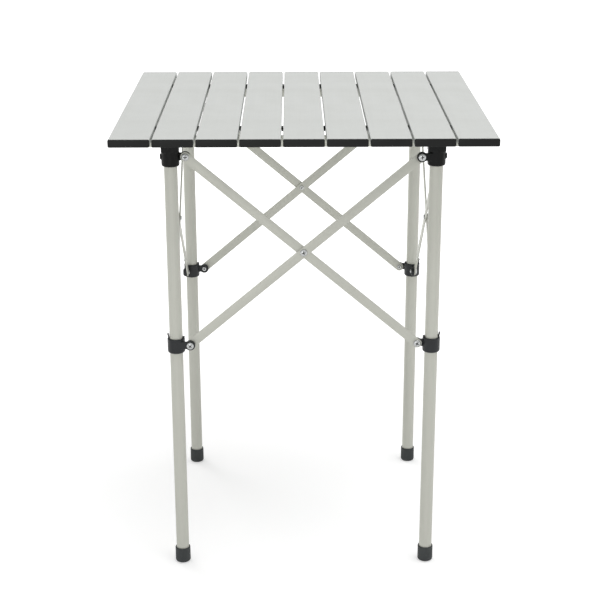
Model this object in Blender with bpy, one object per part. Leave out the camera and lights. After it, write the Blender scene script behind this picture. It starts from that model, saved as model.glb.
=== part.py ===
"""Folding camp table: a roll-up slatted top on two loose rails and a four-sided scissor frame.

Metres, +Z up, front towards -Y. The origin is on the floor, under the middle of the top.
"""

import math

import bmesh
import bpy
from mathutils import Matrix, Vector

# Running gap between neighbouring pieces
gap = 0.0003

# Slatted top
top_height = 0.700
slat_count = 9
slat_width = 0.0584
slat_spacing = 0.0029
slat_height = 0.0111
slat_length = 0.5454
slat_wall = 0.0011
slat_corner = 0.0016
cap_flange = 0.0025
cap_plug_length = 0.012

# Elastic cords through the slats, with a spacer bead in each gap
cord_radius = 0.0016
cord_above_slat_bottom = 0.0045
cord_from_slat_end = 0.1030
cord_hole_radius = 0.0023
cord_knot_radius = 0.0029
cord_knot_length = 0.005
bead_radius = 0.0040

# Rails that carry the slats
rail_radius = 0.0085
rail_wall = 0.0010
rail_length = 0.500
rail_end_wall = 0.0020
rail_vent_radius = 0.0015

# Legs and feet
leg_stance = 0.3875
leg_radius = 0.010
leg_wall = 0.0012
foot_radius = 0.012
foot_height = 0.025
foot_floor = 0.004
foot_rounding = 0.003

# Corner brackets on top of the legs
collar_radius = 0.0133
collar_rounding = 0.0025
bracket_floor = 0.0025
bracket_below_pin = 0.0140
cradle_width = 0.0260
cradle_corner = 0.004
top_pin_below_rail = 0.0135
boss_radius = 0.0044
boss_rise = 0.0017

# Sliding collars
slider_above_pin = 0.0092
slider_below_pin = 0.0136
horn_rise = 0.0020
horn_width = 0.0080
horn_thickness = 0.0022
tab_rise = 0.0075
tab_width = 0.0070
tab_thickness = 0.0014
tab_flare = 0.0012

# Lugs that stand out from brackets and sliders
pin_reach = 0.0218
lug_ring_radius = 0.0075
lug_neck_height = 0.0110
lug_thickness = 0.0050
outer_lug_face = 0.0120

# Scissor bars and their pins
bar_pin_distance = 0.4492
bar_width = 0.0140
bar_thickness = 0.0020
pin_radius = 0.0022
pin_head_radius = 0.0055
pin_head_height = 0.0025
pin_head_crown = 0.6
pin_end_radius = 0.0036
pin_end_height = 0.0016

# Facets around round pieces
leg_facets = 20
small_facets = 12
lug_facets = 14
bead_facets = 8
corner_facets = 2
sharp_angle = math.radians(35)

# How far a cutter runs past the piece it cuts
overcut = 0.003

# Heights that follow from the sizes above
half_stance = leg_stance / 2
slat_pitch = slat_width + slat_spacing
cord_height = top_height - slat_height + cord_above_slat_bottom
rail_height = top_height - slat_height - gap - rail_radius
cradle_floor = rail_height - rail_radius - gap
bore_top = cradle_floor - bracket_floor
top_pin_height = rail_height - rail_radius - top_pin_below_rail
pin_span = leg_stance - 2 * pin_reach
slider_pin_height = top_pin_height - math.sqrt(bar_pin_distance ** 2 - pin_span ** 2)
crossing_height = (top_pin_height + slider_pin_height) / 2
bore_radius = leg_radius + gap
pin_hole_radius = pin_radius + gap

# Layers of a scissor side, as distances outwards from the leg axes
outer_lug_back = outer_lug_face - lug_thickness
outer_bar_front = outer_lug_back - gap
outer_bar_back = outer_bar_front - bar_thickness
inner_bar_front = outer_bar_back - gap
inner_bar_back = inner_bar_front - bar_thickness
inner_lug_face = inner_bar_back - gap

corner_names = ("front_left", "front_right", "back_right", "back_left")
side_names = ("front", "right", "back", "left")


def clear_scene():
    for item in list(bpy.data.objects):
        bpy.data.objects.remove(item, do_unlink=True)


def surface(name, colour, roughness, metallic):
    """A material of one colour, which each piece gets a copy of."""
    material = bpy.data.materials.new(name)
    material.use_nodes = True
    shader = material.node_tree.nodes["Principled BSDF"]
    shader.inputs["Base Color"].default_value = (*colour, 1)
    shader.inputs["Roughness"].default_value = roughness
    shader.inputs["Metallic"].default_value = metallic
    return material


finishes = {
    "slat": ((0.63, 0.65, 0.62), 0.45, 0.6),
    "tube": ((0.50, 0.50, 0.44), 0.5, 0.6),
    "black": ((0.035, 0.037, 0.040), 0.5, 0.0),
    "zinc": ((0.75, 0.75, 0.75), 0.25, 1.0),
    "cord": ((0.03, 0.03, 0.03), 0.8, 0.0),
}


def pivot(name, position, parent=None):
    """An empty on a joint's axis, which carries the pieces of one moving body."""
    empty = bpy.data.objects.new(name + "_pivot", None)
    empty.empty_display_size = 0.02
    bpy.context.collection.objects.link(empty)
    empty["place"] = Vector(position)
    empty.location = empty["place"]
    if parent:
        empty.parent = parent
        empty.location = Vector(position) - Vector(parent["place"])
    return empty


def new_object(name, shape, finish=None, location=(0, 0, 0), turn=0.0, carrier=None):
    """A piece from a bmesh, placed in the world and carried by a body's empty."""
    bmesh.ops.recalc_face_normals(shape, faces=shape.faces)
    mesh = bpy.data.meshes.new(name)
    shape.to_mesh(mesh)
    shape.free()
    mesh.shade_smooth()
    mesh.set_sharp_from_angle(angle=sharp_angle)
    piece = bpy.data.objects.new(name, mesh)
    bpy.context.collection.objects.link(piece)
    piece.location = Vector(location)
    piece.rotation_euler.z = turn
    if carrier:
        piece.parent = carrier
        piece.location -= Vector(carrier["place"])
    if finish:
        mesh.materials.append(surface(name, *finishes[finish]))
    return piece


def helper(piece, shape, operation, label):
    """Joins a shape to a piece, or cuts it out, with a Boolean that stays live."""
    tool = new_object(piece.name + "_" + label, shape)
    tool.parent = piece
    tool.hide_render = True
    tool.display_type = "WIRE"
    change = piece.modifiers.new(label, "BOOLEAN")
    change.operation = operation
    change.solver = "EXACT"
    change.object = tool


def add(shape, extra, place=Matrix()):
    """Adds a copy of one bmesh to another at a given place, and frees it."""
    extra.transform(place)
    copy = bpy.data.meshes.new("copy")
    extra.to_mesh(copy)
    extra.free()
    shape.from_mesh(copy)
    bpy.data.meshes.remove(copy)


def turned(profile, facets):
    """A solid of revolution about Z from (radius, height) points."""
    shape = bmesh.new()
    line = [shape.verts.new((radius, 0, height)) for radius, height in profile]
    edges = [shape.edges.new(pair) for pair in zip(line, line[1:])]
    if profile[0][0] > 0:
        edges.append(shape.edges.new((line[-1], line[0])))
    bmesh.ops.spin(
        shape, geom=line + edges, cent=(0, 0, 0), axis=(0, 0, 1), dvec=(0, 0, 0),
        angle=2 * math.pi, steps=facets, use_merge=True,
    )
    bmesh.ops.remove_doubles(shape, verts=shape.verts, dist=gap / 1000)
    bmesh.ops.recalc_face_normals(shape, faces=shape.faces)
    return shape


def rod(radius, low, high, facets):
    """A solid round rod along Z."""
    return turned([(0, low), (radius, low), (radius, high), (0, high)], facets)


def tube(radius, bore, low, high, facets):
    """A round tube along Z, open at both ends."""
    return turned([(bore, low), (radius, low), (radius, high), (bore, high)], facets)


def circle(radius, facets, centre=(0.0, 0.0)):
    step = 2 * math.pi / facets
    return [
        (centre[0] + radius * math.cos(step * i), centre[1] + radius * math.sin(step * i))
        for i in range(facets)
    ]


def rounded_rectangle(width, height, radius, facets=corner_facets):
    """A rectangle about the origin with round corners, anticlockwise."""
    points = []
    for quarter, (x_side, y_side) in enumerate(((1, 1), (-1, 1), (-1, -1), (1, -1))):
        x_centre = x_side * (width / 2 - radius)
        y_centre = y_side * (height / 2 - radius)
        for i in range(facets + 1):
            angle = math.pi / 2 * (quarter + i / facets)
            points.append((x_centre + radius * math.cos(angle), y_centre + radius * math.sin(angle)))
    return points


def plate(outline, thickness, holes=()):
    """A flat plate in the XZ plane, from y = 0 to y = thickness, with its holes left open."""
    shape = bmesh.new()
    edges = []
    for loop in (outline, *holes):
        ring = [shape.verts.new((x, 0, z)) for x, z in loop]
        edges += [shape.edges.new((ring[i - 1], ring[i])) for i in range(len(ring))]
    bmesh.ops.triangle_fill(shape, use_beauty=True, edges=edges)
    extruded = bmesh.ops.extrude_face_region(shape, geom=shape.faces[:])
    moved = [item for item in extruded["geom"] if isinstance(item, bmesh.types.BMVert)]
    bmesh.ops.translate(shape, vec=(0, thickness, 0), verts=moved)
    bmesh.ops.recalc_face_normals(shape, faces=shape.faces)
    return shape


def loft(sections):
    """A closed solid through (outline, y) sections of equal point counts."""
    shape = bmesh.new()
    rings = [[shape.verts.new((x, y, z)) for x, z in outline] for outline, y in sections]
    for near, far in zip(rings, rings[1:]):
        for i in range(len(near)):
            shape.faces.new((near[i - 1], near[i], far[i], far[i - 1]))
    shape.faces.new(rings[0])
    shape.faces.new(rings[-1])
    bmesh.ops.recalc_face_normals(shape, faces=shape.faces)
    return shape


def fillet(radius, rounding, facets, low):
    """Profile points of the rounded lower outer edge of a turned piece."""
    points = []
    for i in range(facets + 1):
        angle = math.pi / 2 * (1 - i / facets)
        reach = radius - rounding + rounding * math.cos(angle)
        points.append((reach, low + rounding - rounding * math.sin(angle)))
    return points


# Rotations that point a Z-built shape along other axes
along_x = Matrix.Rotation(math.pi / 2, 4, "Y")
towards_front = Matrix.Rotation(math.pi / 2, 4, "X")


def quarter_turn(index):
    return Matrix.Rotation(math.pi / 2 * index, 4, "Z")


def corner_place(index):
    """The leg axis of a corner on the floor, counted anticlockwise from the front left."""
    return quarter_turn(index) @ Vector((-half_stance, -half_stance, 0))


def away_from_middle(index):
    """A turn that points a Z-built shape left at the left corners and right at the right ones."""
    return along_x.inverted() if index in (0, 3) else along_x


def side_point(index, along, outwards, height):
    """A world point on a scissor side, from its middle and the plane of its leg axes."""
    return quarter_turn(index) @ Vector((along, -half_stance - outwards, height))


def leg(index, carrier):
    low = foot_floor + gap
    high = bore_top - gap
    shape = tube(leg_radius, leg_radius - leg_wall, low, high, leg_facets)
    return new_object("leg_" + corner_names[index], shape, "tube", corner_place(index), 0, carrier)


def foot(index, carrier):
    """A rubber cup over the lower end of a leg."""
    profile = [(0, 0)]
    profile += fillet(foot_radius, foot_rounding, corner_facets, 0)
    profile += [(foot_radius, foot_height), (bore_radius, foot_height)]
    profile += [(bore_radius, foot_floor), (0, foot_floor)]
    shape = turned(profile, leg_facets)
    return new_object("foot_" + corner_names[index], shape, "black", corner_place(index), 0, carrier)


def lug(face):
    """A lug towards +X with a round end, whose outer face stands at y = -face."""
    half_neck = lug_neck_height / 2
    sweep = 2 * (math.pi - math.asin(half_neck / lug_ring_radius))
    outline = [(0, -half_neck)]
    for i in range(lug_facets + 1):
        angle = sweep * (i / lug_facets - 0.5)
        outline.append((pin_reach + lug_ring_radius * math.cos(angle), lug_ring_radius * math.sin(angle)))
    outline.append((0, half_neck))
    shape = plate(outline, lug_thickness)
    shape.transform(Matrix.Translation((0, -face, 0)))
    return shape


def lug_pair(x_face, y_face, height):
    """Two lugs towards +X and +Y, with their outer faces at the given distances outwards."""
    shape = bmesh.new()
    lift = Matrix.Translation((0, 0, height))
    add(shape, lug(x_face), lift)
    mirrored = Matrix.Scale(-1, 4, (0, 1, 0))
    add(shape, lug(y_face), lift @ quarter_turn(1) @ mirrored)
    return shape


def pivot_pin(grip):
    """A pan-head pin along Z: the head above z = 0 and a spread end below the gripped layers."""
    profile = [(0, -grip - pin_end_height), (pin_end_radius, -grip - pin_end_height)]
    profile += [(pin_end_radius, -grip), (pin_radius, -grip), (pin_radius, 0), (pin_head_radius, 0)]
    profile += [(pin_head_radius, pin_head_height / 2), (pin_head_radius * pin_head_crown, pin_head_height)]
    profile += [(0, pin_head_height)]
    return turned(profile, small_facets)


def lug_pins(x_layer, y_layer, height):
    """The pins of a lug pair, fixed in the lugs, with their heads outside the given layers."""
    grip = lug_thickness + bar_thickness + 3 * gap
    shape = bmesh.new()
    x_place = Matrix.Translation((pin_reach, -x_layer - gap, height))
    add(shape, pivot_pin(grip), x_place @ towards_front)
    y_place = Matrix.Translation((-y_layer - gap, pin_reach, height))
    add(shape, pivot_pin(grip), y_place @ along_x.inverted())
    return shape


def bracket(index, carrier):
    """A cap on the leg with two lugs, a round boss and an open cradle for the rail above."""
    low = top_pin_height - bracket_below_pin
    profile = [(0, low)]
    profile += fillet(collar_radius, collar_rounding, corner_facets, low)
    profile += [(collar_radius, cradle_floor), (0, cradle_floor)]
    piece = new_object(
        "bracket_" + corner_names[index], turned(profile, leg_facets), "black",
        corner_place(index), math.pi / 2 * index, carrier,
    )
    helper(piece, lug_pair(inner_lug_face, outer_lug_face, top_pin_height), "UNION", "lugs")
    outline = rounded_rectangle(cradle_width, cradle_width, cradle_corner)
    block = plate(outline, rail_height - bore_top)
    block.transform(Matrix.Translation((0, 0, bore_top)) @ towards_front)
    helper(piece, block, "UNION", "cradle")
    boss = rod(boss_radius, bore_radius + gap, collar_radius + boss_rise, small_facets)
    lift = Matrix.Translation((0, 0, top_pin_height))
    boss.transform(lift @ quarter_turn(-index) @ away_from_middle(index))
    helper(piece, boss, "UNION", "boss")
    cutters = rod(bore_radius, low - overcut, bore_top, leg_facets)
    half_channel = cradle_width / 2 + overcut
    channel = rod(rail_radius + gap, -half_channel, half_channel, leg_facets)
    lengthwise = quarter_turn(-index) @ Matrix.Translation((0, 0, rail_height)) @ along_x
    add(cutters, channel, lengthwise)
    helper(piece, cutters, "DIFFERENCE", "bores")
    helper(piece, lug_pins(inner_bar_front, outer_lug_face, top_pin_height), "UNION", "pins")
    return piece


def slider(index, carrier):
    """A collar that runs on the leg, with two lugs, a low horn and a thumb tab."""
    low = slider_pin_height - slider_below_pin
    high = slider_pin_height + slider_above_pin
    profile = [(0, low)]
    profile += fillet(collar_radius, collar_rounding, corner_facets, low)
    profile += [(collar_radius, high), (0, high)]
    piece = new_object(
        "slider_" + corner_names[index], turned(profile, leg_facets), "black",
        corner_place(index), math.pi / 2 * index, carrier,
    )
    helper(piece, lug_pair(outer_lug_face, inner_lug_face, slider_pin_height), "UNION", "lugs")
    outwards = -1 if index in (0, 3) else 1
    extras = bmesh.new()
    horn_in = bore_radius + gap
    horn = [
        (-outwards * horn_in, high - horn_rise), (-outwards * (horn_in + horn_thickness), high - horn_rise),
        (-outwards * (horn_in + horn_thickness), high + horn_rise), (-outwards * horn_in, high + horn_rise),
    ]
    add(extras, plate(horn, horn_width), Matrix.Translation((0, -horn_width / 2, 0)))
    tip = high + tab_rise
    tab_in = outwards * (bore_radius + gap)
    tab_out = outwards * (bore_radius + gap + tab_thickness)
    flare = outwards * tab_flare
    tab = [
        (tab_in, high - tab_thickness), (tab_out, high - tab_thickness), (tab_out, high + tab_rise / 2),
        (tab_out + flare, tip), (tab_in + flare, tip), (tab_in, high + tab_rise / 2),
    ]
    add(extras, plate(tab, tab_width), Matrix.Translation((0, -tab_width / 2, 0)))
    extras.transform(quarter_turn(-index))
    helper(piece, extras, "UNION", "tabs")
    bore = rod(bore_radius, low - overcut, high + overcut, leg_facets)
    helper(piece, bore, "DIFFERENCE", "bore")
    helper(piece, lug_pins(outer_lug_face, inner_bar_front, slider_pin_height), "UNION", "pins")
    return piece


def scissor_bar(name, index, rise, front, carrier):
    """A flat bar with round ends and three pin holes; rise is 1 where it climbs along its side."""
    half = bar_pin_distance / 2
    radius = bar_width / 2
    outline = []
    for side in (1, -1):
        for i in range(small_facets + 1):
            angle = math.pi * (i / small_facets - 0.5)
            outline.append((side * (half + radius * math.cos(angle)), side * radius * math.sin(angle)))
    holes = [circle(pin_hole_radius, small_facets, (place, 0)) for place in (-half, 0, half)]
    shape = plate(outline, bar_thickness, holes)
    fall = math.asin((top_pin_height - slider_pin_height) / bar_pin_distance)
    shape.transform(Matrix.Rotation(-rise * fall, 4, "Y"))
    middle = side_point(index, 0, front, crossing_height)
    return new_object(name, shape, "tube", middle, math.pi / 2 * index, carrier)


def crossing_pin(index, carrier):
    grip = 2 * bar_thickness + 3 * gap
    shape = pivot_pin(grip)
    shape.transform(towards_front)
    middle = side_point(index, 0, outer_bar_front + gap, crossing_height)
    name = "crossing_pin_" + side_names[index]
    return new_object(name, shape, "zinc", middle, math.pi / 2 * index, carrier)


def corner_set(index, carrier):
    """Everything that stays together at one leg: the leg, its foot and its bracket."""
    leg(index, carrier)
    foot(index, carrier)
    bracket(index, carrier)


def rail(name, side, carrier):
    """A round tube under the slats with vented ends, which lies in the cradles of two brackets."""
    middle = Vector((0, side * half_stance, rail_height))
    bore = rail_radius - rail_wall
    end = rail_length / 2
    wall = end - rail_end_wall
    profile = [(rail_vent_radius, -end), (rail_radius, -end), (rail_radius, end), (rail_vent_radius, end)]
    profile += [(rail_vent_radius, wall), (bore, wall), (bore, -wall), (rail_vent_radius, -wall)]
    shape = turned(profile, leg_facets)
    shape.transform(along_x)
    new_object(name, shape, "tube", middle, 0, carrier)


def slat_middle(number):
    """The middle of a slat's upper face, counted from 0 at the left."""
    return Vector(((number - (slat_count - 1) / 2) * slat_pitch, 0, top_height))


def slat(number, carrier):
    """A hollow slat with cord holes in the side walls that face another slat."""
    middle = slat_middle(number) - Vector((0, 0, slat_height / 2))
    outline = rounded_rectangle(slat_width, slat_height, slat_corner)
    inner_corner = max(slat_corner - slat_wall, gap)
    hollow = rounded_rectangle(slat_width - 2 * slat_wall, slat_height - 2 * slat_wall, inner_corner)
    shape = plate(outline, slat_length, [hollow])
    shape.transform(Matrix.Translation((0, -slat_length / 2, 0)))
    piece = new_object(f"slat_{number + 1}", shape, "slat", middle, 0, carrier)
    left = 0 if number == 0 else -slat_pitch / 2
    right = 0 if number == slat_count - 1 else slat_pitch / 2
    drills = bmesh.new()
    for side in (-1, 1):
        place = Vector((0, side * (slat_length / 2 - cord_from_slat_end), cord_height - middle.z))
        drill = rod(cord_hole_radius, left, right, bead_facets)
        add(drills, drill, Matrix.Translation(place) @ along_x)
    helper(piece, drills, "DIFFERENCE", "cord_holes")


def end_caps(number, carrier):
    """The two plugs with flanges that close a slat."""
    middle = slat_middle(number) - Vector((0, 0, slat_height / 2))
    inset = slat_wall + gap
    plug_corner = max(slat_corner - inset, gap)
    outer = rounded_rectangle(slat_width, slat_height, slat_corner)
    inner = rounded_rectangle(slat_width - 2 * inset, slat_height - 2 * inset, plug_corner)
    seat = -slat_length / 2 - gap
    sections = [(outer, seat - cap_flange), (outer, seat), (inner, seat), (inner, seat + cap_plug_length)]
    for end, name in enumerate(("front", "back")):
        cap = loft(sections)
        new_object(f"slat_{number + 1}_{name}_cap", cap, "black", middle, math.pi * end, carrier)


def elastic_cord(name, side, carrier):
    """A cord along X through every slat, with a knot at each end and a bead in each gap."""
    knot = slat_middle(slat_count - 1).x - slat_width / 2 + slat_wall + gap
    bead_half = slat_spacing / 2 - gap
    profile = [(0, -knot - cord_knot_length), (cord_knot_radius, -knot - cord_knot_length)]
    profile += [(cord_knot_radius, -knot), (cord_radius, -knot)]
    for number in range(slat_count - 1):
        middle = slat_middle(number).x + slat_pitch / 2
        profile += [(cord_radius, middle - bead_half), (bead_radius, middle - bead_half)]
        profile += [(bead_radius, middle + bead_half), (cord_radius, middle + bead_half)]
    profile += [(cord_radius, knot), (cord_knot_radius, knot)]
    profile += [(cord_knot_radius, knot + cord_knot_length), (0, knot + cord_knot_length)]
    shape = turned(profile, bead_facets)
    shape.transform(along_x)
    place = Vector((0, side * (slat_length / 2 - cord_from_slat_end), cord_height))
    new_object(name, shape, "cord", place, 0, carrier)


def bar_pivot(name, index, along, front, height, parent):
    """A body's empty on the middle plane of a bar."""
    place = side_point(index, along, front - bar_thickness / 2, height)
    return pivot(name, place, parent)


def side_bar(index, layer, along, height, parent):
    """A bar of a side as a body of its own, which turns on its parent's pin at a given place."""
    front, rise = {"inner": (inner_bar_front, -1), "outer": (outer_bar_front, 1)}[layer]
    name = f"{side_names[index]}_{layer}_bar"
    carrier = bar_pivot(name, index, along, front, height, parent)
    scissor_bar(name, index, rise, front, carrier)
    if layer == "outer":
        crossing_pin(index, carrier)
    return carrier


def hung_corner(index, side, along, front, parent):
    """A corner as a body of its own, which a bar of the given side carries at its top pin."""
    name = "corner_" + corner_names[index]
    carrier = bar_pivot(name, side, along, front, top_pin_height, parent)
    corner_set(index, carrier)
    return carrier


def hung_slider(index, side, along, front, parent):
    name = "slider_" + corner_names[index]
    slider(index, bar_pivot(name, side, along, front, slider_pin_height, parent))


def build():
    clear_scene()
    half = pin_span / 2
    front_left = pivot("corner_front_left", corner_place(0))
    corner_set(0, front_left)

    inner = side_bar(0, "inner", -half, top_pin_height, front_left)
    outer = side_bar(0, "outer", 0, crossing_height, inner)
    front_right = hung_corner(1, 0, half, outer_bar_front, outer)
    hung_slider(0, 0, -half, outer_bar_front, outer)
    hung_slider(1, 0, half, inner_bar_front, inner)

    outer = side_bar(3, "outer", half, top_pin_height, front_left)
    inner = side_bar(3, "inner", 0, crossing_height, outer)
    back_left = hung_corner(3, 3, -half, inner_bar_front, inner)
    hung_slider(3, 3, -half, outer_bar_front, outer)

    inner = side_bar(1, "inner", -half, top_pin_height, front_right)
    outer = side_bar(1, "outer", 0, crossing_height, inner)
    back_right = hung_corner(2, 1, half, outer_bar_front, outer)
    hung_slider(2, 1, half, inner_bar_front, inner)

    side_bar(2, "inner", -half, top_pin_height, back_right)
    side_bar(2, "outer", half, top_pin_height, back_left)

    rail_places = {}
    for name, side, corner in (("front_rail", -1, front_left), ("back_rail", 1, back_left)):
        rail_places[name] = pivot(name, (0, side * half_stance, rail_height), corner)
        rail(name, side, rail_places[name])

    carrier = pivot("slat_1", slat_middle(0), rail_places["front_rail"])
    elastic_cord("elastic_cord_front", -1, carrier)
    elastic_cord("elastic_cord_back", 1, carrier)
    for number in range(slat_count):
        if number:
            hinge = slat_middle(number) - Vector((slat_pitch / 2, 0, 0))
            carrier = pivot(f"slat_{number + 1}", hinge, carrier)
        slat(number, carrier)
        end_caps(number, carrier)


build()
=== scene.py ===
# %% [markdown]
# # A folding camp table
#
# The working solids of a small camp table come in first: nine hollow slats on two elastic cords,
# two loose rails, four legs and a frame of crossed bars. Each cell after that gives one kind of
# piece its finished shape and surface. Everything is in metres, and sits where its solid sits.

# %% Load the working solids
import math

import bmesh
import bpy
from mathutils import Matrix, Vector


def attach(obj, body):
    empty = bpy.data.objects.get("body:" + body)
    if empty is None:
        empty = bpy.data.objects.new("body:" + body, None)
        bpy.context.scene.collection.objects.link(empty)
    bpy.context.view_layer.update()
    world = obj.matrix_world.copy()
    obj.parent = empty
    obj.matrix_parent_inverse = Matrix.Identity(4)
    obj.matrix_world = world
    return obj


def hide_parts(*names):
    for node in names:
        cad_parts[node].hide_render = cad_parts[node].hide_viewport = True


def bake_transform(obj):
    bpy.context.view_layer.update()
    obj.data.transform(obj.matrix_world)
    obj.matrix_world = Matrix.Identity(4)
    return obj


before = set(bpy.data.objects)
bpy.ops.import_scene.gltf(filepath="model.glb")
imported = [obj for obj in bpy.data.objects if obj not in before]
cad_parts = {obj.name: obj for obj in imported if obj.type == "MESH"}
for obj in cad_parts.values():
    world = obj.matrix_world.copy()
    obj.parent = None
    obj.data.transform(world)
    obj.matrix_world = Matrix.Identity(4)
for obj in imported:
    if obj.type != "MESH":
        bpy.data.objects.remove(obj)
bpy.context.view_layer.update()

# %% [markdown]
# ## Camera
#
# The table was photographed from a little above the top, so the view looks down by about twenty
# degrees. A camera can be aimed by eye, or solved from known lengths in the picture. Here the
# numbers come from such a solution, and the small shift takes the place of cropping the picture.

# %% Camera
picture_width = 605
focal_pixels = 1508.58
axis_row = 353.36
camera_place = (-0.01726, -2.3515, 1.1494)
heading = math.radians(-0.405)
tilt = math.radians(90 - 20.283)
roll = math.radians(-0.102)

camera_data = bpy.data.cameras.new("camera")
camera_data.sensor_width = 36
camera_data.lens = camera_data.sensor_width * focal_pixels / picture_width
camera_data.shift_y = (axis_row - picture_width / 2) / picture_width
camera = bpy.data.objects.new("camera", camera_data)
bpy.context.scene.collection.objects.link(camera)
camera.matrix_world = (
    Matrix.Translation(camera_place) @ Matrix.Rotation(heading, 4, "Z")
    @ Matrix.Rotation(tilt, 4, "X") @ Matrix.Rotation(roll, 4, "Z")
)
bpy.context.scene.camera = camera
print("lens", round(camera_data.lens, 2), "mm, shift", round(camera_data.shift_y, 4))

# %% [markdown]
# ## Sizes
#
# A finished piece has to sit exactly where its solid sits, or the joints would move the wrong
# thing. So the sizes of the solids are written once here, and every place below follows from them.

# %% Sizes of the top and its rails
gap = 0.0003
top_height = 0.700
slat_count = 9
slat_width = 0.0584
slat_spacing = 0.0029
slat_height = 0.0111
slat_length = 0.5454
slat_wall = 0.0011
slat_corner = 0.0016
cap_flange = 0.0025
cap_plug_length = 0.012
cord_radius = 0.0016
cord_hole_radius = 0.0023
cord_above_slat_bottom = 0.0045
cord_from_slat_end = 0.1030
bead_radius = 0.0040
knot_radius = 0.0029
knot_length = 0.005
rail_radius = 0.0085
rail_wall = 0.0010
rail_length = 0.500

rows = ((-1, "front"), (1, "back"))
half_length = slat_length / 2
half_width = slat_width / 2
half_height = slat_height / 2
slat_pitch = slat_width + slat_spacing
slat_axis_height = top_height - half_height
cord_height = top_height - slat_height + cord_above_slat_bottom
cord_y = half_length - cord_from_slat_end
rail_height = top_height - slat_height - gap - rail_radius

# %% Sizes of the frame
leg_stance = 0.3875
leg_radius = 0.010
leg_wall = 0.0012
foot_radius = 0.012
foot_height = 0.025
foot_floor = 0.004
collar_radius = 0.0133
bracket_floor = 0.0025
bracket_below_pin = 0.0140
cradle_width = 0.0260
top_pin_below_rail = 0.0135
slider_above_pin = 0.0092
slider_below_pin = 0.0136
pin_reach = 0.0218
lug_ring_radius = 0.0075
lug_neck_height = 0.0110
lug_thickness = 0.0050
outer_lug_face = 0.0120
bar_pin_distance = 0.4492
bar_width = 0.0140
bar_thickness = 0.0020

half_stance = leg_stance / 2
cradle_floor = rail_height - rail_radius - gap
bore_top = cradle_floor - bracket_floor
bore_radius = leg_radius + gap
top_pin_height = rail_height - rail_radius - top_pin_below_rail
pin_span = leg_stance - 2 * pin_reach
slider_pin_height = top_pin_height - math.sqrt(bar_pin_distance ** 2 - pin_span ** 2)
crossing_height = (top_pin_height + slider_pin_height) / 2
outer_bar_front = outer_lug_face - lug_thickness - gap
inner_bar_front = outer_bar_front - bar_thickness - gap
inner_lug_face = inner_bar_front - bar_thickness - gap
corner_names = ("front_left", "front_right", "back_right", "back_left")
side_names = ("front", "right", "back", "left")
print("pins at", round(top_pin_height, 4), round(crossing_height, 4), round(slider_pin_height, 4))

# %% [markdown]
# ## Places
#
# The frame looks the same from all four sides. So each piece is made once, facing the front or
# standing at the front left leg, and a quarter turn about the middle carries it round the table.

# %% Places round the table
def quarter_turn(index):
    return Matrix.Rotation(math.pi / 2 * index, 4, "Z")


def corner_place(index, height=0.0):
    """A leg's axis, turned so that its two lugs point along local X and Y."""
    return quarter_turn(index) @ Matrix.Translation((-half_stance, -half_stance, height))


def side_place(index, along, outwards, height):
    """A point on a side: local X runs along the side, and local Y points to the table's middle."""
    return quarter_turn(index) @ Matrix.Translation((along, -half_stance - outwards, height))


def slat_x(number):
    return (number - (slat_count + 1) / 2) * slat_pitch


lie_along_x = Matrix.Rotation(math.pi / 2, 4, "Y")
face_front = Matrix.Rotation(math.pi / 2, 4, "X")
print("slats from x", round(slat_x(1), 4), "to", round(slat_x(slat_count), 4))

# %% [markdown]
# ## Tools for shapes
#
# Nearly everything here is a box with rounded edges or a turned shape. Both start from very few
# points: a cube and its bevels, or half an outline that is spun about an axis. Moulded parts are
# several such bodies melted together, so that their inner corners get the soft curve of a mould.

# %% Box, turned shape and bevel
def slab(low, high):
    """A box between two corners."""
    shape = bmesh.new()
    bmesh.ops.create_cube(shape, size=1)
    low, high = Vector(low), Vector(high)
    bmesh.ops.scale(shape, vec=high - low, verts=shape.verts)
    bmesh.ops.translate(shape, vec=(low + high) / 2, verts=shape.verts)
    return shape


def turned(outline, facets=48):
    """A shape turned about Z from (radius, height) points, from axis to axis or a closed ring."""
    shape = bmesh.new()
    line = [shape.verts.new((radius, 0, height)) for radius, height in outline]
    edges = [shape.edges.new(pair) for pair in zip(line, line[1:])]
    bmesh.ops.spin(
        shape, geom=line + edges, cent=(0, 0, 0), axis=(0, 0, 1), dvec=(0, 0, 0),
        angle=2 * math.pi, steps=facets, use_merge=True,
    )
    bmesh.ops.remove_doubles(shape, verts=shape.verts, dist=1e-6)
    bmesh.ops.recalc_face_normals(shape, faces=shape.faces)
    return shape


def rod(radius, low, high, facets):
    """A plain cylinder along Z."""
    return turned([(0, low), (radius, low), (radius, high), (0, high)], facets)


def mirrored_ring(lower, facets):
    """A turned ring from the lower half of its outline, which the upper half mirrors."""
    upper = [(radius, -height) for radius, height in reversed(lower)]
    return turned(lower + upper + lower[:1], facets)


def arc(radius, height, across, up, first, last, steps):
    """Outline points on a rounding about a centre; first and last count in quarter turns."""
    points = []
    for step in range(steps + 1):
        angle = math.pi / 2 * (first + (last - first) * step / steps)
        points.append((radius + across * math.cos(angle), height + up * math.sin(angle)))
    return points


def bevel(shape, edges, radius, segments):
    bmesh.ops.bevel(
        shape, geom=edges, offset=radius, offset_type="OFFSET", affect="EDGES",
        segments=segments, profile=0.5, material=-1, clamp_overlap=True,
    )


def edges_along(shape, axis):
    """The edges of a box that run along one axis, 0 for X, 1 for Y and 2 for Z."""
    found = []
    for edge in shape.edges:
        step = edge.verts[1].co - edge.verts[0].co
        if abs(step[axis]) > 0.9 * step.length:
            found.append(edge)
    return found


def soften(shape, radius, segments, least_angle=math.radians(40)):
    """Rounds every edge whose two faces meet at a clear angle."""
    joints = [edge for edge in shape.edges if edge.is_manifold]
    sharp = [edge for edge in joints if edge.calc_face_angle(0) > least_angle]
    bevel(shape, sharp, radius, segments)


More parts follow.
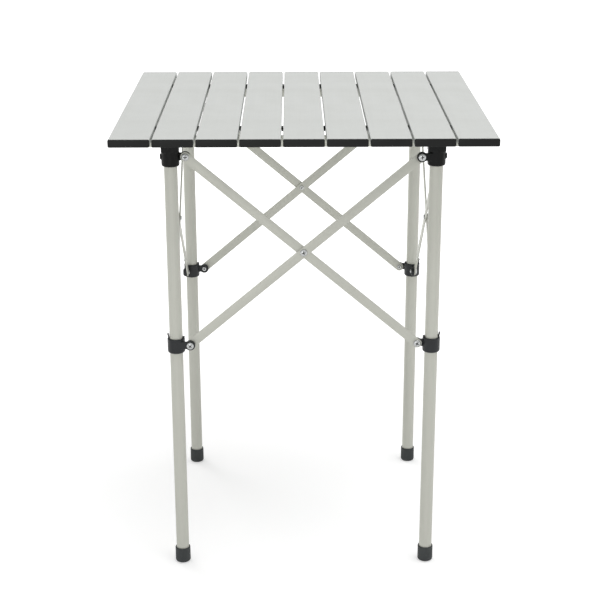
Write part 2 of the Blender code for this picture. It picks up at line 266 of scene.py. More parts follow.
# %% Joining, cutting and melting
def joined(*shapes):
    """One bmesh that holds several."""
    whole = bmesh.new()
    for shape in shapes:
        copy = bpy.data.meshes.new("copy")
        shape.to_mesh(copy)
        shape.free()
        whole.from_mesh(copy)
        bpy.data.meshes.remove(copy)
    return whole


def work_object(shape):
    """An object for modifiers, made from a bmesh that is used up."""
    mesh = bpy.data.meshes.new("work")
    shape.to_mesh(mesh)
    shape.free()
    work = bpy.data.objects.new("work", mesh)
    bpy.context.scene.collection.objects.link(work)
    return work


def take_result(work, *spare):
    """The object's mesh with its modifiers, as a bmesh; the object and its tools go."""
    shape = bmesh.new()
    shape.from_object(work, bpy.context.evaluated_depsgraph_get())
    for item in (work, *spare):
        mesh = item.data
        bpy.data.objects.remove(item)
        bpy.data.meshes.remove(mesh)
    return shape


def cut(shape, tool):
    """A shape without the space that a tool fills."""
    work, cutter = work_object(shape), work_object(tool)
    change = work.modifiers.new("cut", "BOOLEAN")
    change.operation = "DIFFERENCE"
    change.solver = "EXACT"
    change.object = cutter
    return take_result(work, cutter)


def melted(shape, grid, passes):
    """Overlapping bodies made one skin, with their inner and outer corners softened."""
    work = work_object(shape)
    skin = work.modifiers.new("skin", "REMESH")
    skin.mode = "VOXEL"
    skin.voxel_size = grid
    ease = work.modifiers.new("ease", "SMOOTH")
    ease.factor = 0.5
    ease.iterations = passes
    return take_result(work)


# %% Putting a piece on the table
made = []
unturned = Matrix.Identity(4)


def finish_piece(name, shape, place, material, slot, body, *nodes, sharp=35, grain=unturned):
    """Writes a copy of a shape in its place, as a piece that rides on a body and stands for nodes.

    The attribute own_place keeps the coordinates before placing. Grain turns them so that the
    drawn lines, which run along their X, follow the length of the piece.
    """
    shape = shape.copy()
    own_place = shape.verts.layers.float_vector.new("own_place")
    for vert in shape.verts:
        vert[own_place] = grain @ vert.co
    shape.transform(place)
    mesh = bpy.data.meshes.new(name)
    shape.to_mesh(mesh)
    shape.free()
    mesh.shade_smooth()
    mesh.set_sharp_from_angle(angle=math.radians(sharp))
    mesh.materials.append(material)
    piece = bpy.data.objects.new(name, mesh)
    bpy.context.scene.collection.objects.link(piece)
    if body:
        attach(piece, body)
    if nodes:
        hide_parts(*nodes)
    made.append(piece)
    return piece


def report(label, pieces):
    """Prints how many pieces there are and how many triangles they hold."""
    faces = [face for piece in pieces for face in piece.data.polygons]
    print(label, len(pieces), "triangles", sum(len(face.vertices) - 2 for face in faces))


# %% [markdown]
# ## Tools for surfaces
#
# Drawn tube, moulded plastic and zinc each have a fine pattern of their own, but share effects
# such as handling marks. An effect that several finishes use is a node group: built once, with
# named sockets, and placed in each material with its own numbers.

# %% Building a node group
def new_group(name, inputs, outputs):
    """A node group with its named sockets: the group, its inputs and the node for its outputs."""
    group = bpy.data.node_groups.new(name, "ShaderNodeTree")
    for label, kind, value in inputs:
        socket = group.interface.new_socket(
            name=label, in_out="INPUT", socket_type="NodeSocket" + kind,
        )
        if value is not None:
            socket.default_value = value
    for label, kind in outputs:
        group.interface.new_socket(
            name=label, in_out="OUTPUT", socket_type="NodeSocket" + kind,
        )
    return group, group.nodes.new("NodeGroupInput").outputs, group.nodes.new("NodeGroupOutput")


def feed(tree, item, links):
    """Links or sets inputs, from pairs of (output socket or value, input name or number)."""
    for source, target in links:
        if hasattr(source, "links"):
            tree.links.new(source, item.inputs[target])
        else:
            item.inputs[target].default_value = source


def node(tree, kind, links=(), **settings):
    item = tree.nodes.new("ShaderNode" + kind)
    for label, value in settings.items():
        setattr(item, label, value)
    feed(tree, item, links)
    return item


def math_node(tree, operation, first, second, clamp=False):
    links = [(first, 0), (second, 1)]
    return node(tree, "Math", links, operation=operation, use_clamp=clamp).outputs[0]


def noise(tree, place, scale, detail, stretch=(1, 1, 1)):
    spread = node(tree, "Mapping", [(place, "Vector"), (stretch, "Scale")]).outputs[0]
    links = [(spread, "Vector"), (scale, "Scale"), (detail, "Detail")]
    return node(tree, "TexNoise", links).outputs["Fac"]


def remap(tree, value, low, high, new_low, new_high):
    """A value stretched from one range to another and held inside it."""
    labels = ("Value", "From Min", "From Max", "To Min", "To Max")
    links = zip((value, low, high, new_low, new_high), labels)
    return node(tree, "MapRange", links, clamp=True).outputs[0]


def tinted(tree, mask, near, far):
    """A mix of two colours by a mask."""
    links = [(mask, 0), (near, 6), (far, 7)]
    return node(tree, "Mix", links, data_type="RGBA").outputs[2]


def shaded(tree, colour, pattern, middle, depth):
    """A colour that a pattern makes lighter above its middle value and darker below it."""
    swing = math_node(tree, "MULTIPLY", math_node(tree, "SUBTRACT", pattern, middle), depth)
    links = [(colour, 0), (math_node(tree, "ADD", swing, 1.0), "Scale")]
    return node(tree, "VectorMath", links, operation="SCALE").outputs[0]


# %% Effects: drawn lines, handling marks and moulded grain
grey = (0.5, 0.5, 0.5, 1)
fine_stretch = (5, 900, 900)
broad_stretch = (2.5, 140, 140)

drawn_lines, entry, result = new_group(
    "drawn_lines",
    [("Place", "Vector", None), ("Colour", "Color", grey), ("Depth", "Float", 0.06)],
    [("Colour", "Color"), ("Height", "Float")],
)
fine = noise(drawn_lines, entry["Place"], 1, 3, fine_stretch)
broad = noise(drawn_lines, entry["Place"], 1, 2, broad_stretch)
lines = math_node(
    drawn_lines, "ADD", math_node(drawn_lines, "MULTIPLY", fine, 0.6),
    math_node(drawn_lines, "MULTIPLY", broad, 0.4),
)
lined = shaded(drawn_lines, entry["Colour"], lines, 0.5, entry["Depth"])
feed(drawn_lines, result, [(lined, "Colour"), (fine, "Height")])

handling, entry, result = new_group(
    "handling_marks",
    [("Place", "Vector", None), ("Colour", "Color", grey), ("Dust", "Color", (0.6, 0.58, 0.54, 1)),
     ("Amount", "Float", 0.1), ("Roughness", "Float", 0.4), ("Spread", "Float", 0.12)],
    [("Colour", "Color"), ("Roughness", "Float")],
)
cloud = remap(handling, noise(handling, entry["Place"], 16, 5), 0.42, 0.72, 0, 1)
specks = remap(handling, noise(handling, entry["Place"], 900, 2), 0.66, 0.78, 0, 1)
marks = math_node(handling, "ADD", cloud, math_node(handling, "MULTIPLY", specks, 0.6), True)
cover = math_node(handling, "MULTIPLY", marks, entry["Amount"])
dusted = tinted(handling, cover, entry["Colour"], entry["Dust"])
uneven = math_node(handling, "SUBTRACT", cloud, 0.5)
rise = math_node(handling, "MULTIPLY", uneven, entry["Spread"])
rough = math_node(handling, "ADD", entry["Roughness"], rise, True)
feed(handling, result, [(dusted, "Colour"), (rough, "Roughness")])

moulded_grain, entry, result = new_group(
    "moulded_grain",
    [("Place", "Vector", None), ("Scale", "Float", 1500),
     ("Colour", "Color", (0.04, 0.04, 0.04, 1)), ("Depth", "Float", 0.2)],
    [("Colour", "Color"), ("Height", "Float")],
)
pebble_links = [(entry["Place"], "Vector"), (entry["Scale"], "Scale")]
pebble = node(moulded_grain, "TexVoronoi", pebble_links, feature="SMOOTH_F1").outputs["Distance"]
tone = noise(moulded_grain, entry["Place"], 60, 4)
mixed = math_node(moulded_grain, "ADD", math_node(moulded_grain, "MULTIPLY", pebble, 0.5), tone)
grained = shaded(moulded_grain, entry["Colour"], mixed, 0.7, entry["Depth"])
feed(moulded_grain, result, [(grained, "Colour"), (pebble, "Height")])
print("effects:", [group.name for group in bpy.data.node_groups])

# %% [markdown]
# ## Finishes
#
# The slats and the frame are the same metal under different coats: the slats pale and neutral,
# the tubes and bars a little warmer. Both are satin, so their lines only show close up. The
# plastic and the rubber differ in gloss and in the size of their grain.

# %% Materials
line_relief = 0.00003
plastic_shade = 0.35
plastic_dust = (0.22, 0.22, 0.21, 1)


def place_of(tree, own):
    """The piece's own coordinates, X along its length, or the table's."""
    if own:
        return node(tree, "Attribute", attribute_name="own_place").outputs["Vector"]
    return node(tree, "TexCoord").outputs["Object"]


def use_group(tree, group, **values):
    item = tree.nodes.new("ShaderNodeGroup")
    item.node_tree = group
    feed(tree, item, [(source, label) for label, source in values.items()])
    return item.outputs


def new_material(name, metallic, specular):
    material = bpy.data.materials.new(name)
    material.use_nodes = True
    shader = material.node_tree.nodes["Principled BSDF"]
    shader.inputs["Metallic"].default_value = metallic
    shader.inputs["Specular IOR Level"].default_value = specular
    return material, material.node_tree, shader


def bump(tree, shader, height, distance):
    relief = node(tree, "Bump", [(height, "Height"), (distance, "Distance")])
    feed(tree, shader, [(relief.outputs[0], "Normal")])


def drawn_metal(name, colour, depth, roughness, metallic, marks):
    material, tree, shader = new_material(name, metallic, 0.4)
    own = place_of(tree, True)
    metal = use_group(tree, drawn_lines, Place=own, Colour=(*colour, 1), Depth=depth)
    worn = use_group(
        tree, handling, Place=own, Colour=metal["Colour"], Amount=marks, Roughness=roughness,
    )
    feed(tree, shader, [(worn["Colour"], "Base Color"), (worn["Roughness"], "Roughness")])
    bump(tree, shader, metal["Height"], line_relief)
    return material


def moulding(name, colour, pebbles, relief, roughness, specular, marks):
    material, tree, shader = new_material(name, 0.0, specular)
    place = place_of(tree, False)
    grain = use_group(
        tree, moulded_grain, Place=place, Scale=pebbles, Colour=(*colour, 1), Depth=plastic_shade,
    )
    worn = use_group(
        tree, handling, Place=place, Colour=grain["Colour"], Amount=marks, Dust=plastic_dust,
        Roughness=roughness,
    )
    feed(tree, shader, [(worn["Colour"], "Base Color"), (worn["Roughness"], "Roughness")])
    bump(tree, shader, grain["Height"], relief)
    return material


slat_finish = drawn_metal(
    "slat_satin", (0.53, 0.545, 0.525), depth=0.13, roughness=0.42, metallic=0.25, marks=0.06,
)
frame_finish = drawn_metal(
    "frame_satin", (0.565, 0.57, 0.51), depth=0.14, roughness=0.45, metallic=0.2, marks=0.07,
)
cap_finish = moulding(
    "cap_plastic", (0.009, 0.0095, 0.009), pebbles=1600, relief=0.00004,
    roughness=0.42, specular=0.16, marks=0.03,
)
# The brackets' black is darker than the collars', partly as painted shade from the top above them.
bracket_finish_with_painted_shade = moulding(
    "bracket_plastic_painted_shade", (0.0055, 0.006, 0.006), pebbles=1400, relief=0.00005,
    roughness=0.42, specular=0.12, marks=0.02,
)
slider_finish = moulding(
    "slider_plastic", (0.017, 0.019, 0.021), pebbles=1400, relief=0.00005,
    roughness=0.40, specular=0.27, marks=0.04,
)
rubber_finish = moulding(
    "foot_rubber", (0.044, 0.049, 0.050), pebbles=900, relief=0.00008,
    roughness=0.62, specular=0.25, marks=0.10,
)
bead_finish = moulding(
    "bead_plastic", (0.003, 0.003, 0.003), pebbles=1800, relief=0.00003,
    roughness=0.55, specular=0.05, marks=0.01,
)

cord_finish, tree, shader = new_material("elastic_braid", 0.0, 0.2)
braid_links = [(place_of(tree, True), "Vector"), (420.0, "Scale"), (1.5, "Distortion")]
braid = node(tree, "TexWave", braid_links, bands_direction="DIAGONAL").outputs["Fac"]
braid_colour = tinted(tree, braid, (0.012, 0.012, 0.013, 1), (0.035, 0.035, 0.036, 1))
feed(tree, shader, [(braid_colour, "Base Color"), (0.8, "Roughness")])
bump(tree, shader, braid, 0.0002)

# %% [markdown]
# The zinc of the screws is bright, and its cross recess gets painted shade: a near black colour
# that stands in for the shade inside it.
# The recess is every point of the head that lies below its dome. The dome is half an ellipse, so
# its height follows from the distance to the screw's own axis, and the shader can work it out.

# %% Zinc with a painted shade in its recess
head_radius = 0.0055
head_rim = 0.0007
head_crown = 0.0018
shade_from_depth = 0.00010
shade_full_depth = 0.00035

zinc_finish, tree, shader = new_material("bright_zinc", 1.0, 0.5)
own = place_of(tree, True)
split = node(tree, "SeparateXYZ", [(own, 0)]).outputs
across = math_node(
    tree, "ADD", math_node(tree, "POWER", split["X"], 2.0),
    math_node(tree, "POWER", split["Y"], 2.0),
)
share = math_node(tree, "DIVIDE", across, head_radius ** 2)
below_one = math_node(tree, "SUBTRACT", 1.0, share, True)
dome = math_node(tree, "MULTIPLY", math_node(tree, "SQRT", below_one, 0.0), head_crown)
depth = math_node(tree, "SUBTRACT", math_node(tree, "ADD", dome, head_rim), split["Z"])
# Painted shade: the deeper a point lies below the dome, the darker its colour.
recess_shade_ramp = remap(tree, depth, shade_from_depth, shade_full_depth, 0, 1)
on_head = math_node(tree, "GREATER_THAN", split["Z"], head_rim / 2)
recess = math_node(tree, "MULTIPLY", recess_shade_ramp, on_head)
plating = use_group(
    tree, handling, Place=own, Colour=(0.42, 0.43, 0.43, 1), Amount=0.10, Roughness=0.24,
    Dust=(0.30, 0.30, 0.29, 1),
)
# The recess takes a near black colour, painted in place of the shade inside it.
zinc_with_painted_shade = tinted(tree, recess, plating["Colour"], (0.035, 0.035, 0.035, 1))
feed(tree, shader, [(zinc_with_painted_shade, "Base Color"), (plating["Roughness"], "Roughness")])
bump(tree, shader, noise(tree, own, 2400, 2), 0.00002)
print("materials:", len(bpy.data.materials))

# %% [markdown]
# ## Slats
#
# A slat is a drawn flat tube with small corner radii. It could be an outline pushed along a path.
# A box with its long edges bevelled gives the same section, and leaves clean long faces for the
# drawn lines. Taking out the ends and giving the skin a thickness makes the tube hollow.

# %% Slat tube
slat_tube = slab((-half_length, -half_width, -half_height), (half_length, half_width, half_height))
bevel(slat_tube, edges_along(slat_tube, 0), slat_corner, 4)
ends = [face for face in slat_tube.faces if abs(face.normal.x) > 0.9]
bmesh.ops.delete(slat_tube, geom=ends, context="FACES_ONLY")
bmesh.ops.recalc_face_normals(slat_tube, faces=slat_tube.faces)
bmesh.ops.solidify(slat_tube, geom=slat_tube.faces[:], thickness=slat_wall)
width_now = max(vert.co.y for vert in slat_tube.verts) * 2
print("slat width with its wall", round(width_now, 5))

# %% [markdown]
# The cords run across the slats through round holes in the side walls. The first and the last slat
# are only drilled on the side that has a neighbour, so the drills there stop short.

# %% Drilled slats on their bodies
for number in range(1, slat_count + 1):
    left = 0.0 if number == 1 else slat_width
    right = 0.0 if number == slat_count else slat_width
    drills = []
    for end in (-1, 1):
        drill = rod(cord_hole_radius, -right, left, 24)
        seat = Matrix.Translation((end * cord_y, 0, cord_height - slat_axis_height))
        drill.transform(seat @ face_front.inverted())
        drills.append(drill)
    drilled = cut(slat_tube.copy(), joined(*drills))
    place = Matrix.Translation((slat_x(number), 0, slat_axis_height)) @ quarter_turn(1)
    finish_piece(
        f"slat_tube_{number}", drilled, place, slat_finish, "slat_aluminium",
        f"slat_{number}", f"slat_{number}",
    )
    drilled.free()
report("slats:", made)

# %% [markdown]
# ## End caps
#
# Each slat ends in a black moulded cap: a flange as large as the tube, and a plug that grips
# inside. Only the flange shows. Its four corners are rounder than its rim, so it gets two bevels.

# %% End caps
flange_corner = 0.0020
flange_rim = 0.0007
plug_corner = 0.0006
plug_overlap = 0.0004
grip = slat_wall + gap

flange = slab((-half_width, -cap_flange, -half_height), (half_width, 0, half_height))
bevel(flange, edges_along(flange, 1), flange_corner, 5)
rim = [edge for edge in flange.edges if all(vert.co.y < -cap_flange / 2 for vert in edge.verts)]
bevel(flange, rim, flange_rim, 3)
plug = slab((grip - half_width, -plug_overlap, grip - half_height),
            (half_width - grip, cap_plug_length, half_height - grip))
bevel(plug, edges_along(plug, 1), plug_corner, 2)
cap = joined(flange, plug)
seat = Matrix.Translation((0, -half_length - gap, 0))
before = len(made)
for number in range(1, slat_count + 1):
    middle = Matrix.Translation((slat_x(number), 0, slat_axis_height))
    for end, name in enumerate(("front", "back")):
        finish_piece(
            f"{name}_end_cap_{number}", cap, middle @ quarter_turn(2 * end) @ seat, cap_finish,
            "cap_plastic", f"slat_{number}", f"slat_{number}_{name}_cap",
        )
report("caps:", made[before:])

# %% [markdown]
# ## Cords and beads
#
# Two elastic cords hold the slats together, and a bead in every gap keeps them apart. When the top
# rolls up, a cord bends at each gap. So it is made in eight lengths, each from the middle of one
# slat to the middle of the next, and each has closely spaced rings across one gap. A knot closes
# either end of the cord, just behind the drilled wall of the first and the last slat.

# %% Elastic cords
knot_start = slat_x(slat_count) - half_width + slat_wall + gap
knot_waist = cord_radius * 0.6
bend_half = 0.0020
before = len(made)


def knot(height, side):
    """Half the outline of a pulled knot, from the cord to its closed end."""
    half = side * knot_length / 2
    bulge = arc(knot_waist, height + half, knot_radius - knot_waist, half, -1, 1, 8)[1:-1]
    return [(cord_radius, height), *bulge, (0, height + side * knot_length)]


for row, name in rows:
    y = row * cord_y
    place = Matrix.Translation((0, y, cord_height)) @ lie_along_x
    for number in range(1, slat_count):
        hinge_x = slat_x(number) + slat_pitch / 2
        bend = [(cord_radius, hinge_x + bend_half * (step / 5 - 1)) for step in range(11)]
        left = [(0, slat_x(number)), (cord_radius, slat_x(number))]
        right = [(cord_radius, slat_x(number + 1)), (0, slat_x(number + 1))]
        if number == 1:
            left = knot(-knot_start, -1)[::-1]
        if number == slat_count - 1:
            right = knot(knot_start, 1)
        length = turned(left + bend + right, 16)
        piece = finish_piece(
            f"{name}_cord_{number}_to_{number + 1}", length, place, cord_finish,
            "elastic_cord", None, f"elastic_cord_{name}",
        )
        length.free()
        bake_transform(piece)
report("cord lengths:", made[before:])

# %% Beads
bead_half = slat_spacing / 2 - gap
bead_bore = cord_radius + 0.0002
corner = 0.0004
round_edge = arc(bead_radius - corner, corner - bead_half, corner, corner, -1, 0, 4)
bead = mirrored_ring([(bead_bore, -bead_half), *round_edge], 32)
before = len(made)
for row, name in rows:
    for number in range(1, slat_count):
        middle = (slat_x(number) + slat_pitch / 2, row * cord_y, cord_height)
        finish_piece(
            f"{name}_bead_{number}", bead, Matrix.Translation(middle) @ lie_along_x, bead_finish,
            "elastic_cord", f"slat_{number}",
        )
report("beads:", made[before:])

# %% [markdown]
# ## Rails
#
# The slats lie on two round tubes that rest in the brackets. Each tube is closed by a black plug
# with a domed flange. Both are turned shapes, and the tube keeps its cut edge slightly broken.

# %% Rails and their plugs
broken_edge = 0.0003
plug_flange = 0.0018
plug_length = 0.012
plug_dome = [(0.0082, 0.0001), (0.0082, 0.0008), (0.0077, 0.0014), (0.0058, 0.0017),
             (0.0026, plug_flange), (0, plug_flange)]

tube_end = rail_length / 2 - plug_flange
rail_bore = rail_radius - rail_wall
rail_tube = mirrored_ring([
    (rail_bore, -tube_end), (rail_radius - broken_edge, -tube_end),
    (rail_radius, broken_edge - tube_end),
], 56)
fit = rail_bore - 0.0002
stem = [(0, -plug_length), (fit - 0.0006, -plug_length), (fit, 0.001 - plug_length), (fit, 0)]
rail_plug = turned(stem + plug_dome, 48)
before = len(made)
for row, name in rows:
    rail_place = Matrix.Translation((0, row * half_stance, rail_height))
    finish_piece(
        f"{name}_rail_tube", rail_tube, rail_place @ lie_along_x, frame_finish,
        "frame_aluminium", f"{name}_rail", f"{name}_rail", grain=lie_along_x,
    )
    for turns, side in ((0, "right"), (2, "left")):
        seat = lie_along_x @ Matrix.Translation((0, 0, tube_end))
        finish_piece(
            f"{name}_rail_plug_{side}", rail_plug, rail_place @ quarter_turn(turns) @ seat,
            cap_finish, "cap_plastic", f"{name}_rail",
        )
report("rail pieces:", made[before:])

# %% [markdown]
# ## Legs and feet
#
# The legs are plain round tubes. The feet are rubber cups with a rounded lower edge and a thin lip.
# Both are turned, with many facets, because their long outlines show every flat.

# %% Legs and feet
foot_rounding = 0.0032
foot_lip = [
    (foot_radius - 0.0001, foot_height - 0.004), (foot_radius - 0.0002, foot_height - 0.0006),
    (foot_radius - 0.0006, foot_height - 0.0001), (foot_radius - 0.0010, foot_height),
    (bore_radius + 0.0003, foot_height - 0.0002), (bore_radius, foot_height - 0.0008),
]

leg_low = foot_floor + gap
leg_high = bore_top - gap
leg_bore = leg_radius - leg_wall
leg_tube = turned([(leg_bore, leg_low), (leg_radius, leg_low), (leg_radius, leg_high),
                   (leg_bore, leg_high), (leg_bore, leg_low)], 56)
lower = arc(foot_radius - foot_rounding, foot_rounding, foot_rounding, foot_rounding, -1, 0, 6)
foot_cup = turned([(0, 0), *lower, *foot_lip, (bore_radius, foot_floor), (0, foot_floor)], 56)
before = len(made)
for index, corner_name in enumerate(corner_names):
    body, stand = f"corner_{corner_name}", corner_place(index)
    finish_piece(
        f"{corner_name}_leg_tube", leg_tube, stand, frame_finish, "frame_aluminium",
        body, f"leg_{corner_name}", grain=lie_along_x,
    )
    finish_piece(
        f"{corner_name}_foot_cup", foot_cup, stand, rubber_finish, "foot_rubber",
        body, f"foot_{corner_name}",
    )
report("legs and feet:", made[before:])

# %% [markdown]
# ## Crossed bars
#
# Every side has two flat bars with round ends. A box becomes one when its four end edges are
# bevelled by half its width. A second, fine bevel breaks the stamped rim, which catches the light.

# %% Bars
stamped_edge = 0.0003
half_bar = bar_pin_distance / 2 + bar_width / 2
strap = slab((-half_bar, 0, -bar_width / 2), (half_bar, bar_thickness, bar_width / 2))
bevel(strap, edges_along(strap, 1), bar_width / 2 * 0.998, 10)
soften(strap, stamped_edge, 2)
fall = math.asin((top_pin_height - slider_pin_height) / bar_pin_distance)
before = len(made)
for index, side in enumerate(side_names):
    for layer, front, rise in (("inner", inner_bar_front, -1), ("outer", outer_bar_front, 1)):
        slope = Matrix.Rotation(-rise * fall, 4, "Y")
        body = f"{side}_{layer}_bar"
        finish_piece(
            f"{side}_{layer}_strap", strap, side_place(index, 0, front, crossing_height) @ slope,
            frame_finish, "frame_aluminium", body, body,
        )
report("bars:", made[before:])

# %% [markdown]
# ## Screws
#
# The bars turn on zinc screws with a pan head and a cross recess, and a spread hollow end behind.
# The body is turned, and the recess is cut with two wedges that narrow towards the bottom.

# %% Screw shapes
pin_radius = 0.0022
head_edge = 0.0003
pin_end = (
    (0, -0.002), (0.0013, -0.002), (0.0015, 0.0014), (0.0020, 0.0016), (0.0030, 0.0016),
    (0.0035, 0.0012), (0.0036, 0.0006), (0.0036, 0), (pin_radius, 0),
)
recess_length = 0.0074
recess_width = 0.0015
recess_depth = 0.0017


def cross_recess(top):
    """Two crossed wedges that narrow towards the bottom of the recess."""
    arms = []
    for turns in (0, 1):
        arm = slab((-recess_length / 2, -recess_width / 2, top - recess_depth),
                   (recess_length / 2, recess_width / 2, top + 0.001))
        low = [vert for vert in arm.verts if vert.co.z < top]
        bmesh.ops.scale(arm, vec=(0.45, 0.7, 1), verts=low)
        arm.transform(quarter_turn(turns))
        arms.append(arm)
    return arms


def screw(grip):
    """A pan-head screw along Z, with its head on z = 0 and its grip below."""
    outline = [(radius, -grip - behind) for radius, behind in pin_end]
    outline += [(pin_radius, 0), (head_radius - head_edge, 0), (head_radius, head_edge)]
    outline += arc(0, head_rim, head_radius, head_crown, 0, 1, 10)[:-1]
    outline.append((0, head_rim + head_crown))
    body = turned(outline, 48)
    for arm in cross_recess(head_rim + head_crown):
        body = cut(body, arm)
    return body


lug_screw = screw(lug_thickness + bar_thickness + 3 * gap)
crossing_screw = screw(2 * bar_thickness + 3 * gap)
print("screw faces:", len(lug_screw.faces), len(crossing_screw.faces))

# %% Screws in their places
levels = (
    ("top", "corner", top_pin_height, inner_bar_front, outer_lug_face),
    ("slider", "slider", slider_pin_height, outer_lug_face, inner_bar_front),
)
before = len(made)
for index, side in enumerate(side_names):
    spin = Matrix.Rotation(0.7 * index + 0.3, 4, "Z")
    place = side_place(index, 0, outer_bar_front + gap, crossing_height) @ face_front @ spin
    finish_piece(
        f"{side}_crossing_screw", crossing_screw, place, zinc_finish, "zinc_steel",
        f"{side}_outer_bar", f"crossing_pin_{side}",
    )

for index, corner_name in enumerate(corner_names):
    for level, body_kind, height, x_face, y_face in levels:
        first = Matrix.Translation((pin_reach, -x_face - gap, 0)) @ face_front
        second = Matrix.Translation((-y_face - gap, pin_reach, 0)) @ lie_along_x.inverted()
        for number, seat in enumerate((first, second)):
            spin = Matrix.Rotation(1.1 * index + 0.6 * number + 2.3 * height, 4, "Z")
            finish_piece(
                f"{corner_name}_{level}_screw_{number + 1}", lug_screw,
                corner_place(index, height) @ seat @ spin, zinc_finish, "zinc_steel",
                f"{body_kind}_{corner_name}",
            )
report("screws:", made[before:])

# %% [markdown]
# ## Brackets
#
# A bracket is one moulding: a cap over the leg, an open cradle for the rail, and two lugs, each set
# out to one side so that the bars lie side by side. The simple bodies overlap, and one skin over
# all of them gives the rounded inner corners. The bores are cut last, so that they stay crisp.

# %% Bodies of a moulding
grid = 0.0005
smoothing = 4
overshoot = 0.003
neck_start = 0.006
seat_radius = 0.0061
seat_depth = 0.0005


def swing_to_y(shape):
    """Mirrors a shape, so that what pointed along local X points along local Y."""
    shape.transform(quarter_turn(1) @ Matrix.Scale(-1, 4, (0, 1, 0)))
    bmesh.ops.reverse_faces(shape, faces=shape.faces[:])
    return shape


def lug(face, height):
    """A lug towards local X: a neck and a round end, both as thick as the lug."""
    end = rod(lug_ring_radius, 0, lug_thickness, 40)
    end.transform(Matrix.Translation((pin_reach, -face + lug_thickness, 0)) @ face_front)
    half = lug_neck_height / 2
    neck = slab((neck_start, -face, -half), (pin_reach, -face + lug_thickness, half))
    whole = joined(end, neck)
    whole.transform(Matrix.Translation((0, 0, height)))
    return whole


def lug_pair(x_face, y_face, height):
    return joined(lug(x_face, height), swing_to_y(lug(y_face, height)))


def collar(low, high, lower, upper):
    """The sleeve round a leg, with the radii of its lower and upper rounding."""
    return turned([
        (0, low), *arc(collar_radius - lower, low + lower, lower, lower, -1, 0, 5),
        *arc(collar_radius - upper, high - upper, upper, upper, 0, 1, 3), (0, high),
    ], 64)


def screw_seats(x_face, y_face, height):
    """Shallow round seats in the outer faces of the lugs that carry a screw head."""
    seats = []
    for face, swing in ((x_face, False), (y_face, True)):
        if face == outer_lug_face:
            seat = rod(seat_radius, -seat_depth, 0.002, 40)
            seat.transform(Matrix.Translation((pin_reach, -face, height)) @ face_front)
            seats.append(swing_to_y(seat) if swing else seat)
    return seats


def place_mouldings(make, kind, body_kind, finish):
    """Makes a kind twice, with its outer side to the left and behind, for two corners each."""
    before = len(made)
    for first_index, outwards in ((0, quarter_turn(2)), (1, quarter_turn(3))):
        shape = make(outwards)
        for index in (first_index, first_index + 2):
            corner_name = corner_names[index]
            finish_piece(
                f"{corner_name}_{kind}_moulding", shape, corner_place(index), finish,
                "black_plastic", f"{body_kind}_{corner_name}", f"{kind}_{corner_name}", sharp=50,
            )
        shape.free()
    report(f"{kind}s:", made[before:])


# %% Brackets
cradle_corner = 0.004
boss_start = 0.0115
boss_outline = [
    (0, boss_start), (0.0044, boss_start), (0.0044, collar_radius + 0.0012),
    (0.0036, collar_radius + 0.0018), (0, collar_radius + 0.0020),
]


def bracket(outwards):
    """A bracket at the origin's leg; outwards is the local direction that faces left or right."""
    low = top_pin_height - bracket_below_pin
    half = cradle_width / 2
    block = slab((-half, -half, bore_top - overshoot), (half, half, rail_height))
    bevel(block, edges_along(block, 2), cradle_corner, 6)
    boss = turned(boss_outline, 32)
    boss.transform(Matrix.Translation((0, 0, top_pin_height)) @ outwards @ lie_along_x)
    lugs = lug_pair(inner_lug_face, outer_lug_face, top_pin_height)
    skin = melted(joined(collar(low, bore_top, 0.0028, 0.0005), block, boss, lugs), grid, smoothing)
    bore = rod(bore_radius, low - overshoot, bore_top, 64)
    channel = rod(rail_radius + gap, -half - overshoot, half + overshoot, 64)
    channel.transform(Matrix.Translation((0, 0, rail_height)) @ outwards @ lie_along_x)
    for tool in (bore, channel, *screw_seats(inner_lug_face, outer_lug_face, top_pin_height)):
        skin = cut(skin, tool)
    return skin


place_mouldings(bracket, "bracket", "corner", bracket_finish_with_painted_shade)

# %% [markdown]
# ## Sliding collars
#
# A collar slides on the leg and carries the lower ends of two bars. Its rim has a low horn on the
# inner side and a thin tab with a flared tip on the outer side, which a finger can reach.

# %% Sliding collars
horn_inner, horn_outer, horn_half, horn_rise = 0.0104, 0.0128, 0.0040, 0.0020
horn_corner = 0.0012
tab_inner, tab_outer, tab_half, tab_rise = 0.0106, 0.0122, 0.0035, 0.0075
tab_bend = 0.0035
tab_flare = 0.0012


def slider(outwards):
    low = slider_pin_height - slider_below_pin
    high = slider_pin_height + slider_above_pin
    horn = slab((-horn_outer, -horn_half, high - 0.002), (-horn_inner, horn_half, high + horn_rise))
    bevel(horn, edges_along(horn, 0), horn_corner, 3)
    tab = slab((tab_inner, -tab_half, high - 0.003), (tab_outer, tab_half, high + tab_rise))
    middle = high + tab_bend
    bmesh.ops.bisect_plane(
        tab, geom=tab.verts[:] + tab.edges[:] + tab.faces[:], plane_co=(0, 0, middle),
        plane_no=(0, 0, 1),
    )
    tip = [vert for vert in tab.verts if vert.co.z > middle + 0.001]
    bmesh.ops.translate(tab, vec=(tab_flare, 0, 0), verts=tip)
    extras = joined(horn, tab)
    extras.transform(outwards)
    lugs = lug_pair(outer_lug_face, inner_lug_face, slider_pin_height)
    skin = melted(joined(collar(low, high, 0.0030, 0.0010), extras, lugs), grid, smoothing)
    bore = rod(bore_radius, low - overshoot, high + 0.02, 64)
    for tool in (bore, *screw_seats(outer_lug_face, inner_lug_face, slider_pin_height)):
        skin = cut(skin, tool)
    return skin


place_mouldings(slider, "slider", "slider", slider_finish)

# %% [markdown]
# ## Floor and light
#
# The table stood in a white studio. The floor is pale and lit like the rest, with a little light of
# its own that only the camera sees, so it reads as white and still keeps the shadows of the feet.
# The sky is even and soft. A large lamp above gives the slats their lighter tone and leaves the
# bars below in the shade of the top. Two low lamps brighten the legs from the front and the back.
# The one at the back has no reflection, which would lie as a glare on the top from some sides.

# %% Floor
floor_reach = 14
floor_drop = 0.0003


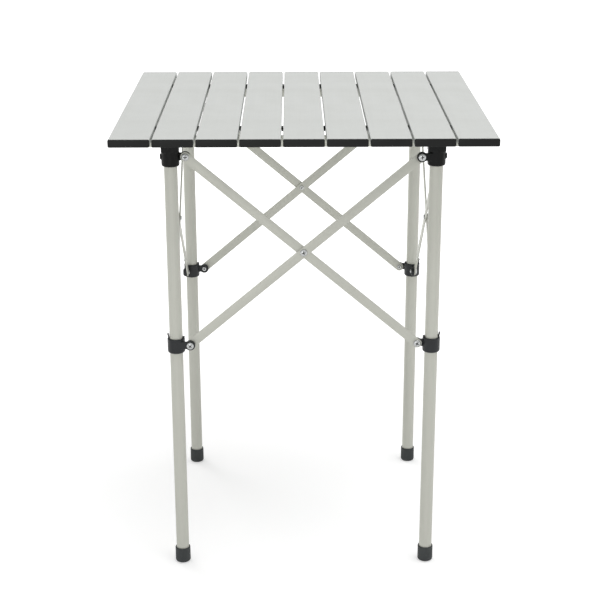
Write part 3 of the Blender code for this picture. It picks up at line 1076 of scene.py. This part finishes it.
def seen_directly(tree, *more):
    """1 for the camera's own rays and their reflections, and 0 for the light that falls on."""
    paths = node(tree, "LightPath").outputs
    seen = math_node(tree, "MAXIMUM", paths["Is Camera Ray"], paths["Is Glossy Ray"])
    for label in more:
        seen = math_node(tree, "MAXIMUM", seen, paths[label])
    return seen


floor_shape = bmesh.new()
bmesh.ops.create_grid(floor_shape, x_segments=8, y_segments=8, size=floor_reach)
floor_mesh = bpy.data.meshes.new("floor")
floor_shape.to_mesh(floor_mesh)
floor_shape.free()
floor = bpy.data.objects.new("floor", floor_mesh)
floor.location.z = -floor_drop
bpy.context.scene.collection.objects.link(floor)

floor_finish = bpy.data.materials.new("pale_floor")
floor_finish.use_nodes = True
tree = floor_finish.node_tree
tree.nodes.clear()
seen = seen_directly(tree)
matt = node(tree, "BsdfDiffuse", [((0.86, 0.86, 0.86, 1), "Color")])
away = node(tree, "VectorMath", [(place_of(tree, False), 0)], operation="LENGTH").outputs["Value"]
own_light = math_node(tree, "MULTIPLY", seen, remap(tree, away, 0.5, 2.5, 0.36, 0.8))
glow = node(tree, "Emission", [((1, 1, 1, 1), "Color"), (own_light, "Strength")])
both = node(tree, "AddShader", [(matt.outputs[0], 0), (glow.outputs[0], 1)])
node(tree, "OutputMaterial", [(both.outputs[0], "Surface")])
floor_mesh.materials.append(floor_finish)

# %% Sky
world = bpy.data.worlds.new("studio")
bpy.context.scene.world = world
world.use_nodes = True
tree = world.node_tree
tree.nodes.clear()
seen = seen_directly(tree, "Is Transmission Ray")
even = node(tree, "Background", [((1, 1, 1, 1), "Color"), (0.60, "Strength")])
white = node(tree, "Background", [((1, 1, 1, 1), "Color"), (1.0, "Strength")])
either = node(tree, "MixShader", [(seen, 0), (even.outputs[0], 1), (white.outputs[0], 2)])
node(tree, "OutputWorld", [(either.outputs[0], "Surface")])

# %% Lamps
def lamp(name, place, aim, size, watts, mirrored=True):
    data = bpy.data.lights.new(name, "AREA")
    data.shape = "DISK"
    data.size = size
    data.energy = watts
    item = bpy.data.objects.new(name, data)
    item.location = place
    item.rotation_euler = (Vector(aim) - Vector(place)).to_track_quat("-Z", "Y").to_euler()
    item.visible_glossy = mirrored
    bpy.context.scene.collection.objects.link(item)


lamp("overhead", (0.6, -0.35, 3.2), (0, 0, 0.5), 2.6, 40)
lamp("front_fill", (-0.6, -3.4, 0.35), (0, 0, 0.15), 1.2, 7)
lamp("back_fill", (-1.9, 2.4, 1.0), (0, 0, 0.25), 1.6, 26, mirrored=False)
bpy.context.scene.view_settings.view_transform = "Standard"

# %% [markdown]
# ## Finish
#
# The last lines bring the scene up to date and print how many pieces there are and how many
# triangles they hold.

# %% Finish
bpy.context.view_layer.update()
report("pieces:", made)
